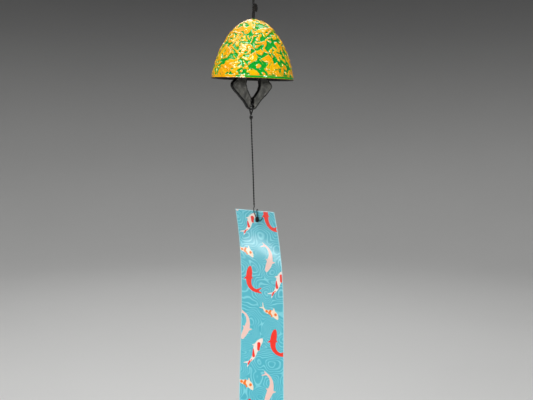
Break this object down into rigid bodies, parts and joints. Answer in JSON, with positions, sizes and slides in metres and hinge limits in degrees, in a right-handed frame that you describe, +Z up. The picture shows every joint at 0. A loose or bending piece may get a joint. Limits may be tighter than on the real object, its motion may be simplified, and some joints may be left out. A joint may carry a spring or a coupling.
{
  "type": "hanging wind bell",
  "caption": "Small cast-iron wind bell hung on a cord loop, with a flat clapper inside and a long printed streamer below it that catches the wind.",
  "frame": {"origin": "inside of the hanging loop's top, where a hook bears", "axes": "+Z up along the hanging line, -Y the front that the streamer's printed face is turned to, +X to the right seen from the front"},
  "size_m": [0.07, 0.07, 0.4242],
  "materials": {
    "cord": "waxed black twisted cord",
    "bell_paint": "glossy amber enamel over cast relief, bright green in the hollows, bare black iron inside",
    "clapper_iron": "dark grey, satin, as cast",
    "printed_sheet": "smooth printed sheet, turquoise ripples with red, white and cream carp, satin"
  },
  "bodies": {
    "root": {"hanging_loop": "cord"},
    "loop_knot": {"loop_knot": "cord", "loop_knot_tail": "cord"},
    "bell_cords": {"bell_cord_left": "cord", "bell_cord_right": "cord", "crown_knot": "cord"},
    "bell": {"bell": "bell_paint"},
    "clapper_cord_top": {"clapper_cord_top": "cord"},
    "clapper_cord": {"clapper_cord": "cord", "clapper_knot": "cord"},
    "clapper": {"clapper": "clapper_iron", "clapper_hitch": "cord", "streamer_hitch": "cord"},
    "streamer_cord_top": {"streamer_cord_knot": "cord", "streamer_cord_top": "cord"},
    "streamer_cord": {"streamer_cord": "cord"},
    "streamer_cord_end": {"streamer_cord_end": "cord"},
    "streamer": {"streamer": "printed_sheet", "streamer_tie_strand": "cord", "streamer_tie_loop": "cord", "streamer_tie_knot": "cord", "streamer_tie_tail": "cord"}
  },
  "joints": [
    {"name": "bell_swing_fore_aft", "type": "hinge", "parent": "root", "child": "loop_knot", "pos_m": [0, 0, -0.0398], "axis": [1, 0, 0], "range_deg": [-40, 40]},
    {"name": "bell_swing_side", "type": "hinge", "parent": "loop_knot", "child": "bell_cords", "pos_m": [0, 0, -0.048], "axis": [0, 1, 0], "range_deg": [-40, 40]},
    {"name": "bell_turn", "type": "hinge", "parent": "bell_cords", "child": "bell", "pos_m": [0.0006, 0, -0.053], "axis": [0.0314, 0, 0.9995], "continuous": true},
    {"name": "clapper_swing_fore_aft", "type": "hinge", "parent": "bell_cords", "child": "clapper_cord_top", "pos_m": [0, 0, -0.0608], "axis": [1, 0, 0], "range_deg": [-11, 11]},
    {"name": "clapper_swing_side", "type": "hinge", "parent": "clapper_cord_top", "child": "clapper_cord", "pos_m": [-0.0003, 0, -0.0668], "axis": [0, 1, 0], "range_deg": [-11, 11]},
    {"name": "clapper_turn", "type": "hinge", "parent": "clapper_cord", "child": "clapper", "pos_m": [-0.0008, 0, -0.0845], "axis": [0.0297, 0, 0.9996], "continuous": true},
    {"name": "streamer_swing_fore_aft", "type": "hinge", "parent": "clapper", "child": "streamer_cord_top", "pos_m": [-0.00215, 0, -0.1328], "axis": [1, 0, 0], "range_deg": [-45, 45]},
    {"name": "streamer_swing_side", "type": "hinge", "parent": "streamer_cord_top", "child": "streamer_cord", "pos_m": [-0.0019, 0, -0.1424], "axis": [0, 1, 0], "range_deg": [-45, 45]},
    {"name": "streamer_turn", "type": "hinge", "parent": "streamer_cord", "child": "streamer_cord_end", "pos_m": [0.0001, 0, -0.2076], "axis": [0, 0, 1], "continuous": true},
    {"name": "streamer_flap", "type": "hinge", "parent": "streamer_cord_end", "child": "streamer", "pos_m": [0.0003, 0, -0.2121], "axis": [0.8387, -0.5446, 0], "range_deg": [-45, 45]}
  ]
}
